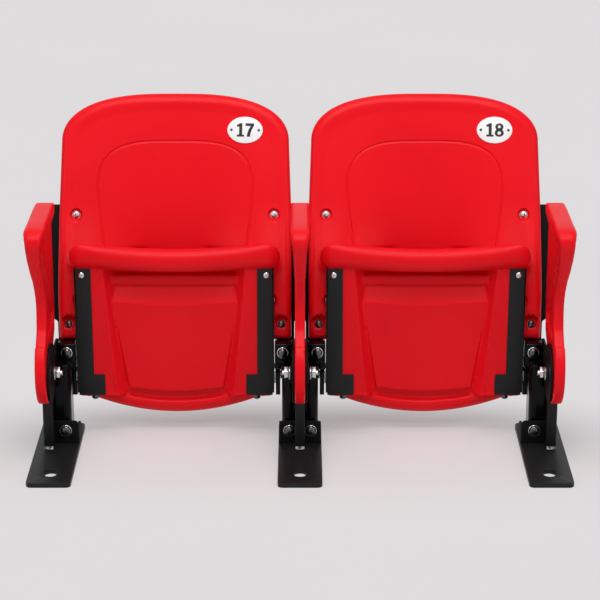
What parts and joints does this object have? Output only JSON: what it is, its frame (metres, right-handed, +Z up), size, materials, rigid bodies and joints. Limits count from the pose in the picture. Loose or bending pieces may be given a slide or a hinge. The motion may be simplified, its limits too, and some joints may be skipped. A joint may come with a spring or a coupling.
{
  "type": "stadium seat",
  "caption": "Bank of tip-up stadium seats on shared arm standards, each with a moulded back and a sprung folding seat, on slotted floor plates.",
  "frame": {"origin": "on the floor, under the middle of the bank's own box", "axes": "the seats face -Y, +X is to the right of someone who faces them, +Z is up"},
  "size_m": [1.052, 0.4542, 0.6686],
  "materials": {
    "red_plastic": "satin gloss",
    "gloss_black_steel": "gloss",
    "satin_black_steel": "satin",
    "bright_zinc": "polished",
    "spring_steel": "satin"
  },
  "bodies": {
    "standards": {"base_plate_left": "satin_black_steel", "base_plate_centre": "satin_black_steel", "base_plate_right": "satin_black_steel", "post_left": "satin_black_steel", "post_centre": "satin_black_steel", "post_right": "satin_black_steel", "arm_left": "red_plastic", "arm_centre": "red_plastic", "arm_right": "red_plastic", "hub_bolt_left": "bright_zinc", "hub_bolt_centre": "bright_zinc", "hub_bolt_right": "bright_zinc", "column_left_seat_l": "gloss_black_steel", "column_left_seat_r": "gloss_black_steel", "column_right_seat_l": "gloss_black_steel", "column_right_seat_r": "gloss_black_steel", "head_left_seat_l": "gloss_black_steel", "head_left_seat_r": "gloss_black_steel", "head_right_seat_l": "gloss_black_steel", "head_right_seat_r": "gloss_black_steel", "side_plate_left_seat_l": "gloss_black_steel", "side_plate_left_seat_r": "gloss_black_steel", "side_plate_right_seat_l": "gloss_black_steel", "side_plate_right_seat_r": "gloss_black_steel", "head_bolt_left_seat_l": "bright_zinc", "head_bolt_left_seat_r": "bright_zinc", "head_bolt_right_seat_l": "bright_zinc", "head_bolt_right_seat_r": "bright_zinc", "return_spring_left_seat_l": "spring_steel", "return_spring_left_seat_r": "spring_steel", "return_spring_right_seat_l": "spring_steel", "return_spring_right_seat_r": "spring_steel", "back_strap_left_seat_l": "satin_black_steel", "back_strap_left_seat_r": "satin_black_steel", "back_strap_right_seat_l": "satin_black_steel", "back_strap_right_seat_r": "satin_black_steel", "back_left": "red_plastic", "back_right": "red_plastic", "back_bolt_left_upper_l": "bright_zinc", "back_bolt_left_upper_r": "bright_zinc", "back_bolt_left_lower_l": "bright_zinc", "back_bolt_left_lower_r": "bright_zinc", "back_bolt_right_upper_l": "bright_zinc", "back_bolt_right_upper_r": "bright_zinc", "back_bolt_right_lower_l": "bright_zinc", "back_bolt_right_lower_r": "bright_zinc"},
    "seat_left": {"seat_pan_left": "red_plastic", "seat_bracket_left_seat_l": "satin_black_steel", "seat_bracket_left_seat_r": "satin_black_steel", "pivot_pin_left_seat_l": "bright_zinc", "pivot_pin_left_seat_r": "bright_zinc", "stop_lever_left_seat_l": "satin_black_steel", "stop_lever_left_seat_r": "satin_black_steel"},
    "seat_right": {"seat_pan_right": "red_plastic", "seat_bracket_right_seat_l": "satin_black_steel", "seat_bracket_right_seat_r": "satin_black_steel", "pivot_pin_right_seat_l": "bright_zinc", "pivot_pin_right_seat_r": "bright_zinc", "stop_lever_right_seat_l": "satin_black_steel", "stop_lever_right_seat_r": "satin_black_steel"}
  },
  "joints": [
    {"name": "seat_left_tip", "type": "hinge", "parent": "standards", "child": "seat_left", "pos_m": [-0.25, 0.06694, 0.125], "axis": [1, 0, 0], "range_deg": [0, 82], "stiffness_Nm_per_rad": 3, "springref_deg": -22.92},
    {"name": "seat_right_tip", "type": "hinge", "parent": "standards", "child": "seat_right", "pos_m": [0.25, 0.06694, 0.125], "axis": [1, 0, 0], "range_deg": [0, 82], "stiffness_Nm_per_rad": 3, "springref_deg": -22.92}
  ]
}
